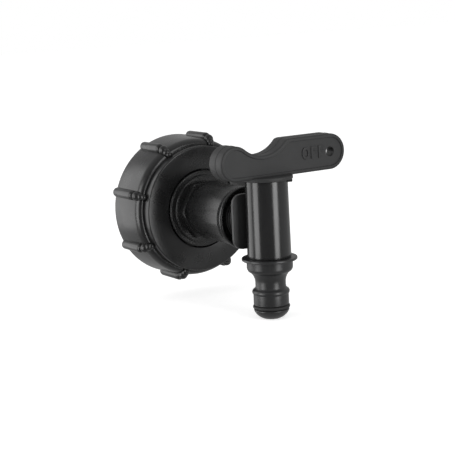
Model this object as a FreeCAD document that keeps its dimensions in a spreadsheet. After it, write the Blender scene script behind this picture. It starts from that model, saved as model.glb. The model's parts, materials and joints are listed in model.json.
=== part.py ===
"""Tap for a bulk liquid container: a swivel nut, a threaded tailpiece and a quarter-turn spool tap.

Frame: +Y runs along the pipe towards the container, +Z is up, and the origin is the centre of
the gasket's sealing face. The nut, gasket and tailpiece turn about Y. The tap's barrel, spool
and lever turn about a vertical axis; those pieces are drawn about Z and then set on that axis.
"""
import FreeCAD, Part
import math
import os
import Sketcher
from types import SimpleNamespace

SIZES = [
    # threads and bores that everything else is built round
    ("thread_radius", "30.3", "nut's bore at the container thread's major diameter"),
    ("neck_radius", "9.32", "tap's male thread at its minor diameter"),
    ("thread_clearance", "0.1", "male thread in female thread, radial"),
    ("spool_radius", "7.6", "spool outside"),
    ("spool_clearance", "0.05", "spool in barrel, radial"),
    # gasket and tailpiece, along the pipe from the sealing face outwards
    ("gasket_thickness", "3.0", "flat gasket between tailpiece and container neck"),
    ("gasket_inset", "0.3", "gasket inside the flange's edge"),
    ("gasket_width", "8.0", "gasket from edge to hole"),
    ("flange_thickness", "3.0", "tailpiece flange that the nut pulls on"),
    ("flange_drop", "3.0", "flange edge inside the nut's thread, so that it passes through"),
    ("collar_radius", "18.2", "round collar that carries the nut"),
    ("collar_length", "5.1", "collar ahead of the flange"),
    ("collar_wall", "3.2", "collar around the wide bore"),
    ("step_width", "2.0", "thin ring inside the collar's edge"),
    ("step_length", "1.8", "ring ahead of the collar"),
    ("hex_across", "25.2", "spanner hexagon across flats"),
    ("hex_length", "3.2", "hexagon along the pipe"),
    ("hex_chamfer", "0.6", "bevel on the hexagon's front edges"),
    ("waist_depth", "0.3", "neck ahead of the hexagon, below its flats"),
    ("waist_length", "1.6", "straight part of that neck"),
    ("waist_slope", "2.4", "run from the neck up to the boss"),
    ("boss_wall", "4.23", "boss around the female thread"),
    ("boss_length", "32.1", "hexagon front to boss mouth"),
    ("lip_height", "0.85", "swollen rim above the boss"),
    ("lip_slope", "3.0", "run from the boss out to the rim"),
    ("lip_round", "0.8", "rounding of the rim"),
    ("recess_wall", "0.65", "boss around the counterbore in its mouth"),
    ("recess_depth", "2.3", "counterbore depth"),
    ("recess_bevel", "0.5", "bevel at the counterbore's edge"),
    ("socket_depth", "14.2", "boss mouth to the washer's seat"),
    ("seat_width", "2.42", "seat that the washer lies on"),
    ("funnel_depth", "6.0", "wide bore depth from the flange"),
    ("funnel_slope", "5.0", "run from the wide bore to the narrow one"),
    # swivel nut
    ("nut_play", "0.1", "between nut and flange, along the pipe"),
    ("nut_clearance", "0.5", "around the flange and around the collar"),
    ("nut_wall", "4.5", "front wall thickness"),
    ("nut_step", "4.5", "front face ahead of the shoulder"),
    ("nut_depth", "14.8", "open end behind the sealing face"),
    ("rim_wall", "3.6", "skirt around the thread at its open end"),
    ("shoulder_wall", "2.4", "skirt around the thread at its front end"),
    ("shoulder_width", "2.8", "shoulder between skirt and raised front"),
    ("shoulder_round", "1.6", "rounding of the shoulder"),
    ("face_round", "1.8", "rounding of the front face"),
    ("thread_runout", "2.95", "plain bore past the flange's back face"),
    ("mouth_bevel", "0.8", "lead-in bevel of the thread"),
    ("rib_count", "8", "grip ribs round the skirt"),
    ("rib_width", "4.6", "rib across"),
    ("rib_phase", "16.1", "turn of the first rib below +X, degrees"),
    ("rib_rear_height", "2.3", "rib above the skirt at its open end"),
    ("rib_front_height", "3.1", "rib above the skirt where the nose starts"),
    ("rib_step_count", "2", "rounded steps that roll the rib down to the raised front"),
    ("rib_step_round", "2.2", "convex arc of each step"),
    ("rib_step_hollow", "1.6", "concave arc after each step"),
    ("rib_step_turn", "58.0", "turn of each arc, degrees"),
    ("rib_nose_start", "3.4", "nose starts this far behind the shoulder"),
    ("rib_bite", "1.0", "rib root sunk in the raised front"),
    ("rib_bevel", "0.9", "bevel along the rib's top edges"),
    # tap body, from the barrel's axis towards the container
    ("washer_thickness", "2.0", "washer at the bottom of the boss"),
    ("neck_length", "18.0", "threaded neck behind the plate"),
    ("neck_bevel", "0.8", "bevel at the neck's end"),
    ("neck_wall", "3.32", "neck around its bore"),
    ("plate_across", "24.8", "square wrench plate across flats"),
    ("plate_corner", "4.5", "plate corner rounding"),
    ("plate_thickness", "2.0", "plate along the pipe"),
    ("plate_sink", "1.09", "plate's front face inside the barrel's surface"),
    ("plate_bevel", "0.5", "bevel of the plate's front edge"),
    ("plate_skin", "1.3", "plate left ahead of the neck's bore"),
    ("port_radius", "4.0", "port into the barrel and into the spool"),
    ("stub_wall", "1.6", "solid around the port, between barrel and plate"),
    ("barrel_rise", "18.95", "barrel top above the pipe axis"),
    ("barrel_drop", "15.6", "barrel foot below the pipe axis"),
    ("barrel_head_wall", "1.82", "barrel wall at its top"),
    ("barrel_foot_wall", "2.14", "barrel wall at its foot"),
    ("axial_play", "0.1", "between barrel ends and the rotating flanges"),
    # stops that limit the lever to a quarter turn
    ("travel", "90.0", "quarter turn, degrees"),
    ("lug_angle", "-32.5", "visible lug, degrees from +X"),
    ("lug_sweep", "16.0", "lug round the barrel, degrees"),
    ("lug_clearance", "0.28", "lug clear of the barrel"),
    ("lug_inset", "0.3", "lug inside the disc's edge"),
    ("lug_drop", "1.5", "lug below the lever's disc"),
    ("stop_sweep", "20.0", "fixed stop round the barrel, degrees"),
    ("stop_gap", "1.0", "stop to lug at either end of travel, degrees"),
    ("stop_inset", "0.2", "fixed stop inside the lugs' outer face"),
    ("stop_height", "1.7", "fixed stop along the barrel"),
    ("stop_clearance", "0.3", "fixed stop below the disc"),
    # lever
    ("disc_overhang", "2.33", "disc beyond the barrel's top"),
    ("disc_thickness", "1.75", "disc along the barrel"),
    ("disc_round", "0.4", "rounding of the disc's top edge"),
    ("blade_thickness", "10.0", "blade across"),
    ("blade_sink", "0.7", "blade's underside below the disc's top"),
    ("arm_height", "16.3", "arm from underside to top"),
    ("lobe_reach", "18.5", "lobe centre behind the barrel axis"),
    ("lobe_radius", "7.8", "thumb lobe"),
    ("hollow_reach", "3.8", "lowest point of the finger hollow behind the axis"),
    ("hollow_floor", "10.3", "lowest point of the hollow above the underside"),
    ("arm_reach", "32.1", "centre of the arm's round end"),
    ("arm_corner", "2.0", "rounding where hollow meets arm"),
    ("blade_bevel", "0.6", "bevel along the blade's edges"),
    ("panel_border", "1.8", "raised border round the sunk panel"),
    ("panel_depth", "0.5", "sunk panel depth"),
    ("hole_radius", "2.1", "hole for a lanyard or seal"),
    ("socket_wall", "1.45", "blade beside the square socket"),
    ("square_clearance", "0.05", "square in its socket, each side"),
    ("square_length", "7.5", "square above the spool"),
    ("square_headroom", "0.5", "socket deeper than the square"),
    # spool and hose nozzle, down from the ring
    ("bore_headroom", "3.5", "spool bore above the port"),
    ("ring_overhang", "2.61", "ring beyond the barrel's foot"),
    ("ring_thickness", "1.2", "ring along the axis"),
    ("nipple_radius", "7.9", "sealing barrel of the nozzle"),
    ("throat_depth", "1.1", "throat below the nipple's surface"),
    ("throat_wall", "2.6", "throat around the waterway"),
    ("hub_step", "3.5", "hub above the throat"),
    ("hub_length", "3.2", "straight part of the hub"),
    ("hub_round", "2.4", "rounding at the hub's lower end"),
    ("hub_round_angle", "70.0", "turn of that rounding, degrees"),
    ("throat_run", "4.5", "hub's rounding down to the straight throat"),
    ("throat_length", "1.6", "straight throat"),
    ("throat_flare", "1.6", "arc from throat to bead"),
    ("throat_flare_angle", "60.0", "turn of that arc, degrees"),
    ("bead_length", "2.3", "bead along the axis"),
    ("bead_rise", "0.62", "bead's bulge"),
    ("nipple_length", "7.3", "sealing barrel along the axis"),
    ("tip_length", "3.25", "rounded tip along the axis"),
    ("tip_bulge", "0.4", "bulge of the rounded tip"),
    ("tip_land", "0.7", "end face around the waterway"),
    ("tip_cone", "0.35", "end face slopes down to the waterway"),
    # rings and seal on the spool
    ("ring_cord", "0.9", "spool O-ring cord radius"),
    ("nozzle_cord", "0.8", "nozzle O-ring cord radius"),
    ("groove_play", "0.2", "groove wider than its ring, each side"),
    ("ring_squeeze", "0.02", "ring to groove floor, radial"),
    ("upper_ring_depth", "4.55", "upper O-ring below the barrel's top"),
    ("lower_ring_lift", "4.0", "lower O-ring above the barrel's foot"),
    ("nozzle_ring_lift", "1.55", "nozzle O-ring above the tip"),
    ("nozzle_ring_proud", "0.2", "nozzle O-ring above the nipple's surface"),
    ("seal_margin", "1.4", "rubber pad beyond the port that it shuts"),
    ("seal_wall", "0.8", "spool between waterway and pad"),
    ("seal_clearance", "0.05", "pad in its pocket, radial"),
]

doc = FreeCAD.newDocument("container_tap")
sheet = doc.addObject("Spreadsheet::Sheet", "sizes")


class Size:
    """A number together with the spreadsheet expression that gives it."""

    def __init__(self, value, text):
        self.value = float(value)
        self.text = text

    def __add__(self, other):
        other = as_size(other)
        return Size(self.value + other.value, f"({self.text} + {other.text})")

    def __sub__(self, other):
        other = as_size(other)
        return Size(self.value - other.value, f"({self.text} - {other.text})")

    def __mul__(self, other):
        other = as_size(other)
        return Size(self.value * other.value, f"({self.text} * {other.text})")

    def __truediv__(self, other):
        other = as_size(other)
        return Size(self.value / other.value, f"({self.text} / {other.text})")

    def __neg__(self):
        return Size(-self.value, f"(0 - {self.text})")

    __radd__ = __add__
    __rmul__ = __mul__


def as_size(thing):
    return thing if isinstance(thing, Size) else Size(thing, str(thing))


def root(size):
    return Size(math.sqrt(size.value), f"sqrt({size.text})")


def cosine(size):
    return Size(math.cos(math.radians(size.value)), f"cos({size.text})")


def sine(size):
    return Size(math.sin(math.radians(size.value)), f"sin({size.text})")


def fill_sheet():
    """Write every size with its alias, and hand them back by name."""
    named = SimpleNamespace()
    for row, (alias, value, meaning) in enumerate(SIZES, start=1):
        sheet.set(f"A{row}", alias)
        sheet.set(f"B{row}", value)
        sheet.set(f"C{row}", meaning)
        sheet.setAlias(f"B{row}", alias)
        setattr(named, alias, Size(value, f"sizes.{alias}"))
    return named


s = fill_sheet()
doc.recompute()

ZERO = as_size(0)
LEFT = "left"
RIGHT = "right"
FULL_TURN = 360
HALF_TURN = 180
HEXAGON_SIDES = 6
SAME_PLACE = 1e-4

# Planes that several pieces share, along the pipe (Y) and up the barrel (Z).
flange_back = -s.gasket_thickness
flange_front = flange_back - s.flange_thickness
collar_front = flange_front - s.collar_length
hex_back = collar_front - s.step_length
hex_front = hex_back - s.hex_length
boss_mouth = hex_front - s.boss_length
washer_seat = boss_mouth + s.socket_depth
neck_end = washer_seat - s.washer_thickness
disc_bottom = s.barrel_rise + s.axial_play
disc_top = disc_bottom + s.disc_thickness
ring_top = -s.barrel_drop - s.axial_play
ring_bottom = ring_top - s.ring_thickness

# Radii that several pieces share.
flange_radius = s.thread_radius - s.flange_drop
thread_bore = s.neck_radius + s.thread_clearance
tail_waterway = thread_bore - s.seat_width
barrel_bore = s.spool_radius + s.spool_clearance
barrel_head = barrel_bore + s.barrel_head_wall
barrel_foot = barrel_bore + s.barrel_foot_wall
disc_radius = barrel_head + s.disc_overhang
ring_radius = barrel_foot + s.ring_overhang
throat_radius = s.nipple_radius - s.throat_depth
waterway = throat_radius - s.throat_wall
seal_radius = s.port_radius + s.seal_margin
seal_floor = waterway + s.seal_wall
socket_half = s.blade_thickness / 2 - s.socket_wall

# The tap's own lengths along the pipe, from the barrel's axis towards the container.
plate_front = barrel_foot - s.plate_sink
plate_back = plate_front + s.plate_thickness
neck_reach = plate_back + s.neck_length
barrel_axis = neck_end - neck_reach

# The nozzle, from its hub down to its tip.
hub_bottom = ring_bottom - s.hub_length
throat_edge = hub_bottom - s.throat_run - s.hub_round
throat_end = throat_edge - s.throat_length


def new_body(node):
    body = doc.addObject("PartDesign::Body", node)
    body.Label = node
    return body


def set_on_barrel_axis(piece):
    piece.setExpression("Placement.Base.y", barrel_axis.text)


def plane(body, role):
    return next(feature for feature in body.Origin.OriginFeatures if feature.Role == role)


def new_sketch(body, role, name, offset=None, turn=None):
    """A sketch on one of the body's own planes, shifted along its normal or turned about its V axis."""
    sketch = body.newObject("Sketcher::SketchObject", name)
    sketch.AttachmentSupport = [(plane(body, role), "")]
    sketch.MapMode = "FlatFace"
    if offset is not None:
        sketch.setExpression("AttachmentOffset.Base.z", offset.text)
    if turn is not None:
        sketch.AttachmentOffset = FreeCAD.Placement(
            FreeCAD.Vector(), FreeCAD.Rotation(FreeCAD.Vector(0, 1, 0), turn.value))
        sketch.setExpression("AttachmentOffset.Rotation.Angle", turn.text)
    return sketch


def bind(sketch, constraint, size):
    index = sketch.addConstraint(constraint)
    sketch.setExpression(f"Constraints[{index}]", size.text)


def pin(sketch, edge, end, across, up):
    """Fix one end of an edge at (across, up) from the sketch's origin."""
    if across is ZERO:
        sketch.addConstraint(Sketcher.Constraint("PointOnObject", edge, end, -2))
    else:
        bind(sketch, Sketcher.Constraint("DistanceX", -1, 1, edge, end, across.value), across)
    if up is ZERO:
        sketch.addConstraint(Sketcher.Constraint("PointOnObject", edge, end, -1))
    else:
        bind(sketch, Sketcher.Constraint("DistanceY", -1, 1, edge, end, up.value), up)


def arc_between(start, finish, radius, side):
    """The short arc from start to finish that turns to the given side."""
    chord = finish - start
    height = math.sqrt(max(radius ** 2 - (chord.Length / 2) ** 2, 0.0))
    normal = FreeCAD.Vector(-chord.y, chord.x, 0).normalize()
    if side == RIGHT:
        normal = -normal
    centre = (start + finish) / 2 + normal * height
    first, last = (start, finish) if side == LEFT else (finish, start)
    angles = [math.atan2(point.y - centre.y, point.x - centre.x) for point in (first, last)]
    return Part.ArcOfCircle(Part.Circle(centre, FreeCAD.Vector(0, 0, 1), radius), *angles)


def outline(sketch, corners):
    """Draw a closed outline. A corner is (across, up), or (across, up, side, radius) where the
    stretch to the next corner is an arc that turns to that side."""
    points = [FreeCAD.Vector(corner[0].value, corner[1].value, 0) for corner in corners]
    edges = []
    for index, corner in enumerate(corners):
        start = points[index]
        finish = points[(index + 1) % len(points)]
        if len(corner) == 2:
            edge = sketch.addGeometry(Part.LineSegment(start, finish), False)
            edges.append((edge, 1, 2))
            continue
        side, radius = corner[2:]
        edge = sketch.addGeometry(arc_between(start, finish, radius.value, side), False)
        edges.append((edge, 1, 2) if side == LEFT else (edge, 2, 1))
    for index, (edge, begin, end) in enumerate(edges):
        following = edges[(index + 1) % len(edges)]
        sketch.addConstraint(Sketcher.Constraint("Coincident", edge, end, following[0], following[1]))
    for corner, (edge, begin, end) in zip(corners, edges):
        pin(sketch, edge, begin, corner[0], corner[1])
        if len(corner) > 2:
            bind(sketch, Sketcher.Constraint("Radius", edge, corner[3].value), corner[3])


def circle(sketch, across, up, radius):
    centre = FreeCAD.Vector(across.value, up.value, 0)
    edge = sketch.addGeometry(Part.Circle(centre, FreeCAD.Vector(0, 0, 1), radius.value), False)
    bind(sketch, Sketcher.Constraint("Radius", edge, radius.value), radius)
    pin(sketch, edge, 3, across, up)


def box_corners(left, right, low, high):
    return [(left, low), (right, low), (right, high), (left, high)]


def turned(body, name, role, corners, kind="PartDesign::Revolution", sweep=None, centre=None):
    """Revolve an outline about the sketch's vertical axis, all round or through a sweep."""
    sketch = new_sketch(body, role, name + "_outline", turn=centre)
    outline(sketch, corners)
    feature = body.newObject(kind, name)
    feature.Profile = (sketch, [""])
    feature.ReferenceAxis = (sketch, ["V_Axis"])
    if sweep is None:
        feature.Angle = FULL_TURN
    else:
        feature.Midplane = True
        feature.setExpression("Angle", sweep.text)
    return finished(body, feature)


def padded(body, name, sketch, length, symmetric=False, reverse=False, kind="PartDesign::Pad"):
    feature = body.newObject(kind, name)
    feature.Profile = (sketch, [""])
    feature.Reversed = reverse
    if symmetric:
        feature.SideType = "Symmetric"
    feature.setExpression("Length", length.text)
    return finished(body, feature)


def finished(body, feature):
    """Recompute, and make sure that what adds adds and what cuts cuts."""
    base = feature.BaseFeature
    before = base.Shape.Volume if base else 0.0
    doc.recompute()
    change = feature.Shape.Volume - before
    cuts = feature.TypeId in ("PartDesign::Groove", "PartDesign::Pocket")
    if (change < 0) is not cuts or change == 0:
        raise RuntimeError(f"{body.Label}.{feature.Label} changed the volume by {change:.3f}")
    return feature


def edges_where(shape, test):
    return [f"Edge{number}" for number, edge in enumerate(shape.Edges, start=1) if test(edge)]


def dressed(body, kind, name, base, test, size, size_name):
    """Fillet or chamfer the edges of the base feature that pass the test."""
    names = edges_where(base.Shape, test)
    feature = body.newObject(kind, name)
    feature.Base = (base, names)
    feature.setExpression(size_name, size.text)
    doc.recompute()
    return feature


def near(value, size):
    return abs(value - size.value) < SAME_PLACE


def along_rib_top(edge, floor):
    """True for the long edges at the rib's sides that stand above the raised front."""
    box = edge.BoundBox
    return box.ZLength < SAME_PLACE and box.XMin > floor.value and box.XLength > SAME_PLACE


def lies_at(edge, axis, size):
    """True where the whole edge lies on the plane axis = size."""
    box = edge.BoundBox
    low, high = (box.YMin, box.YMax) if axis == "y" else (box.ZMin, box.ZMax)
    return near(low, size) and near(high, size)


def make_gasket():
    body = new_body("tank_gasket")
    outside = flange_radius - s.gasket_inset
    turned(body, "ring", "XY_Plane", box_corners(outside - s.gasket_width, outside, flange_back, ZERO))
    return body


def make_washer():
    body = new_body("tap_washer")
    turned(body, "ring", "XY_Plane", box_corners(tail_waterway, s.neck_radius, neck_end, washer_seat))
    return body


def make_tailpiece():
    """Flange, collar, hexagon and boss in one moulding, with the female thread's plain bore."""
    body = new_body("tailpiece")
    hexagon = new_sketch(body, "XZ_Plane", "hexagon_outline", offset=-hex_back)
    vertex = s.hex_across / root(as_size(3))
    turns = [as_size(FULL_TURN / HEXAGON_SIDES * number) for number in range(HEXAGON_SIDES)]
    outline(hexagon, [hexagon_corner(vertex, turn) for turn in turns])
    pad = padded(body, "hexagon", hexagon, s.hex_length)
    dressed(body, "PartDesign::Chamfer", "hexagon_bevel", pad,
            lambda edge: lies_at(edge, "y", hex_front), s.hex_chamfer, "Size")
    step_radius = s.collar_radius - s.step_width
    waist_radius = s.hex_across / 2 - s.waist_depth
    waist_end = hex_front - s.waist_length
    boss_radius = thread_bore + s.boss_wall
    lip_radius = boss_radius + s.lip_height
    recess_radius = boss_radius - s.recess_wall
    recess_floor = boss_mouth + s.recess_depth
    funnel_radius = s.collar_radius - s.collar_wall
    funnel_end = flange_back - s.funnel_depth
    turned(body, "flange_and_boss", "XY_Plane", [
        (funnel_radius, flange_back),
        (flange_radius, flange_back),
        (flange_radius, flange_front),
        (s.collar_radius, flange_front),
        (s.collar_radius, collar_front),
        (step_radius, collar_front),
        (step_radius, hex_back),
        (waist_radius, hex_back),
        (waist_radius, waist_end),
        (boss_radius, waist_end - s.waist_slope),
        (boss_radius, boss_mouth + s.lip_round + s.lip_slope),
        (lip_radius, boss_mouth + s.lip_round, RIGHT, s.lip_round),
        (lip_radius - s.lip_round, boss_mouth),
        (recess_radius + s.recess_bevel, boss_mouth),
        (recess_radius, boss_mouth + s.recess_bevel),
        (recess_radius, recess_floor),
        (thread_bore, recess_floor),
        (thread_bore, washer_seat),
        (tail_waterway, washer_seat),
        (tail_waterway, funnel_end - s.funnel_slope),
        (funnel_radius, funnel_end),
    ])
    turned(body, "waterway", "XY_Plane",
           box_corners(ZERO, tail_waterway, hex_front, hex_back), "PartDesign::Groove")
    return body


def hexagon_corner(vertex, turn):
    up = ZERO if turn.value % HALF_TURN == 0 else vertex * sine(turn)
    return vertex * cosine(turn), up


def make_nut():
    """Swivel nut: grip ribs with stepped noses, then the skirt and the front wall turned round them."""
    body = new_body("swivel_nut")
    inner_face = flange_front - s.nut_play
    front_face = inner_face - s.nut_wall
    shoulder = front_face + s.nut_step
    thread_start = flange_back + s.thread_runout
    relief = flange_radius + s.nut_clearance
    hole = s.collar_radius + s.nut_clearance
    rim_radius = s.thread_radius + s.rim_wall
    shoulder_radius = s.thread_radius + s.shoulder_wall
    riser_radius = shoulder_radius - s.shoulder_width
    rib_root = s.thread_radius + s.shoulder_wall / 2
    toe = riser_radius - s.rib_bite
    nose_top = shoulder_radius + s.rib_front_height
    nose_start = shoulder + s.rib_nose_start
    rib = new_sketch(body, "XY_Plane", "rib_outline")
    nose = stepped_nose(nose_top, nose_start)
    outline(rib, [
        (toe, nose[0][1]),
        *nose,
        (nose_top, nose_start),
        (rim_radius + s.rib_rear_height, s.nut_depth),
        (rib_root, s.nut_depth),
        (rib_root, thread_start),
        (toe, shoulder),
    ])
    bar = padded(body, "rib", rib, s.rib_width, symmetric=True)
    dressed(body, "PartDesign::Chamfer", "rib_bevels", bar,
            lambda edge: along_rib_top(edge, riser_radius), s.rib_bevel, "Size")
    ribs = body.newObject("PartDesign::PolarPattern", "ribs")
    ribs.TransformMode = "Whole shape"
    ribs.Axis = (plane(body, "Y_Axis"), [""])
    ribs.Angle = FULL_TURN
    ribs.setExpression("Occurrences", s.rib_count.text)
    body.Tip = ribs
    doc.recompute()
    turned(body, "skirt_and_wall", "XY_Plane", [
        (hole, inner_face),
        (hole, front_face),
        (riser_radius - s.face_round, front_face, LEFT, s.face_round),
        (riser_radius, front_face + s.face_round),
        (riser_radius, shoulder),
        (shoulder_radius - s.shoulder_round, shoulder, LEFT, s.shoulder_round),
        (shoulder_radius, shoulder + s.shoulder_round),
        (rim_radius, s.nut_depth),
        (s.thread_radius + s.mouth_bevel, s.nut_depth),
        (s.thread_radius, s.nut_depth - s.mouth_bevel),
        (s.thread_radius, thread_start),
        (relief, thread_start),
        (relief, inner_face),
    ])
    body.Placement = FreeCAD.Placement(
        FreeCAD.Vector(), FreeCAD.Rotation(FreeCAD.Vector(0, 1, 0), s.rib_phase.value))
    body.setExpression("Placement.Rotation.Angle", s.rib_phase.text)
    return body


def stepped_nose(top, start):
    """The rib's nose as rounded steps, from its toe up to (top, start): on each step a convex arc
    rolls inwards and a concave arc turns back along the pipe."""
    turn = s.rib_step_turn
    across = (s.rib_step_round + s.rib_step_hollow) * (as_size(1) - cosine(turn))
    along = (s.rib_step_round + s.rib_step_hollow) * sine(turn)
    corners = []
    for step in range(int(s.rib_step_count.value)):
        high = top - across * step
        rear = start - along * step
        middle = (high - s.rib_step_round * (as_size(1) - cosine(turn)),
                  rear - s.rib_step_round * sine(turn))
        corners.append((*middle, LEFT, s.rib_step_round))
        corners.append((high - across, rear - along, RIGHT, s.rib_step_hollow))
    return list(reversed(corners))


def make_tap_body():
    """Barrel, wrench plate and threaded neck in one moulding, bored along both axes."""
    body = new_body("tap_body")
    half = s.plate_across / 2
    flat = half - s.plate_corner
    plate_sketch = new_sketch(body, "XZ_Plane", "plate_outline", offset=-plate_back)
    outline(plate_sketch, [
        (-flat, -half), (flat, -half, LEFT, s.plate_corner),
        (half, -flat), (half, flat, LEFT, s.plate_corner),
        (flat, half), (-flat, half, LEFT, s.plate_corner),
        (-half, flat), (-half, -flat, LEFT, s.plate_corner),
    ])
    plate = padded(body, "plate", plate_sketch, s.plate_thickness)
    dressed(body, "PartDesign::Chamfer", "plate_rim", plate,
            lambda edge: lies_at(edge, "y", plate_front), s.plate_bevel, "Size")
    stub_radius = s.port_radius + s.stub_wall
    turned(body, "neck", "XY_Plane", [
        (ZERO, ZERO),
        (stub_radius, ZERO),
        (stub_radius, plate_back),
        (s.neck_radius, plate_back),
        (s.neck_radius, neck_reach - s.neck_bevel),
        (s.neck_radius - s.neck_bevel, neck_reach),
        (ZERO, neck_reach),
    ])
    turned(body, "barrel", "XZ_Plane", [
        (ZERO, -s.barrel_drop),
        (barrel_foot, -s.barrel_drop),
        (barrel_head, s.barrel_rise),
        (ZERO, s.barrel_rise),
    ])
    stop_top = disc_bottom - s.stop_clearance
    turned(body, "fixed_stop", "XZ_Plane",
           box_corners(barrel_bore, disc_radius - s.lug_inset - s.stop_inset,
                       stop_top - s.stop_height, stop_top),
           sweep=s.stop_sweep, centre=stop_centre())
    port_floor = plate_front + s.plate_skin
    neck_waterway = s.neck_radius - s.neck_wall
    turned(body, "inlet", "XY_Plane", [
        (ZERO, ZERO),
        (s.port_radius, ZERO),
        (s.port_radius, port_floor),
        (neck_waterway, port_floor),
        (neck_waterway, neck_reach),
        (ZERO, neck_reach),
    ], "PartDesign::Groove")
    turned(body, "barrel_bore", "XZ_Plane",
           box_corners(ZERO, barrel_bore, -s.barrel_drop, s.barrel_rise), "PartDesign::Groove")
    set_on_barrel_axis(body)
    return body


def stop_centre():
    """The fixed stop stands just past the visible lug."""
    return s.lug_angle + s.lug_sweep / 2 + s.stop_gap + s.stop_sweep / 2


def far_lug_angle():
    """The second lug meets the fixed stop after the quarter turn."""
    return stop_centre() + s.stop_sweep / 2 + s.stop_gap + s.travel + s.lug_sweep / 2


def blade_corners(inset):
    """Side view of the blade: lobe, finger hollow and arm, drawn inwards by the inset."""
    underside = disc_top - s.blade_sink
    lobe_height = underside + s.lobe_radius
    hollow_rise = s.hollow_floor - s.lobe_radius
    reach = s.lobe_reach - s.hollow_reach
    hollow = (reach * reach + hollow_rise * hollow_rise - s.lobe_radius * s.lobe_radius) \
        / ((s.lobe_radius - hollow_rise) * 2)
    hollow_height = underside + s.hollow_floor + hollow
    span = s.lobe_radius + hollow
    lobe = s.lobe_radius - inset
    touch_across = lobe * reach / span - s.lobe_reach
    touch_up = lobe_height + lobe * (hollow_height - lobe_height) / span
    low = underside + inset
    high = underside + s.arm_height - inset
    end = (high - low) / 2
    middle = (high + low) / 2
    hollow_arc = hollow + inset
    rise = hollow_height - high
    corner = root(hollow_arc * hollow_arc - rise * rise) - s.hollow_reach
    return [
        (-s.lobe_reach, low),
        (s.arm_reach, low, LEFT, end),
        (s.arm_reach + end, middle, LEFT, end),
        (s.arm_reach, high),
        (corner, high, RIGHT, hollow_arc),
        (touch_across, touch_up, LEFT, lobe),
        (-s.lobe_reach - lobe, lobe_height, LEFT, lobe),
    ]


def make_lever():
    """Disc, two stop lugs and a blade with sunk panels, in one moulding."""
    body = new_body("lever_handle")
    sketch = new_sketch(body, "XZ_Plane", "blade_outline")
    corners = blade_corners(ZERO)
    outline(sketch, corners)
    blade = padded(body, "blade", sketch, s.blade_thickness, symmetric=True)
    corner_x = corners[4][0]
    softened = dressed(body, "PartDesign::Fillet", "arm_corner_rounding", blade,
                       lambda edge: near(edge.BoundBox.XMin, corner_x)
                       and near(edge.BoundBox.XMax, corner_x), s.arm_corner, "Radius")
    side = s.blade_thickness / 2
    dressed(body, "PartDesign::Chamfer", "blade_bevels", softened,
            lambda edge: lies_at(edge, "y", side) or lies_at(edge, "y", -side),
            s.blade_bevel, "Size")
    turned(body, "disc", "XZ_Plane", [
        (ZERO, disc_bottom),
        (disc_radius, disc_bottom),
        (disc_radius, disc_top - s.disc_round, LEFT, s.disc_round),
        (disc_radius - s.disc_round, disc_top),
        (ZERO, disc_top),
    ])
    lug = box_corners(barrel_head + s.lug_clearance, disc_radius - s.lug_inset,
                      disc_bottom - s.lug_drop, disc_top - s.disc_round)
    turned(body, "near_lug", "XZ_Plane", lug, sweep=s.lug_sweep, centre=s.lug_angle)
    turned(body, "far_lug", "XZ_Plane", lug, sweep=s.lug_sweep, centre=far_lug_angle())
    panel = new_sketch(body, "XZ_Plane", "panel_outline", offset=side)
    outline(panel, blade_corners(s.panel_border))
    pocket = padded(body, "panel", panel, s.panel_depth, kind="PartDesign::Pocket")
    mirror = body.newObject("PartDesign::Mirrored", "far_panel")
    mirror.Originals = [pocket]
    mirror.MirrorPlane = (plane(body, "XZ_Plane"), [""])
    body.Tip = mirror
    doc.recompute()
    hole = new_sketch(body, "XZ_Plane", "hole_outline")
    circle(hole, s.arm_reach, disc_top - s.blade_sink + s.arm_height / 2, s.hole_radius)
    padded(body, "hole", hole, s.blade_thickness, symmetric=True, kind="PartDesign::Pocket")
    socket = new_sketch(body, "XY_Plane", "socket_outline", offset=disc_bottom)
    outline(socket, box_corners(-socket_half, socket_half, -socket_half, socket_half))
    padded(body, "socket", socket, s.square_length + s.square_headroom, reverse=True,
           kind="PartDesign::Pocket")
    set_on_barrel_axis(body)
    return body


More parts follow.
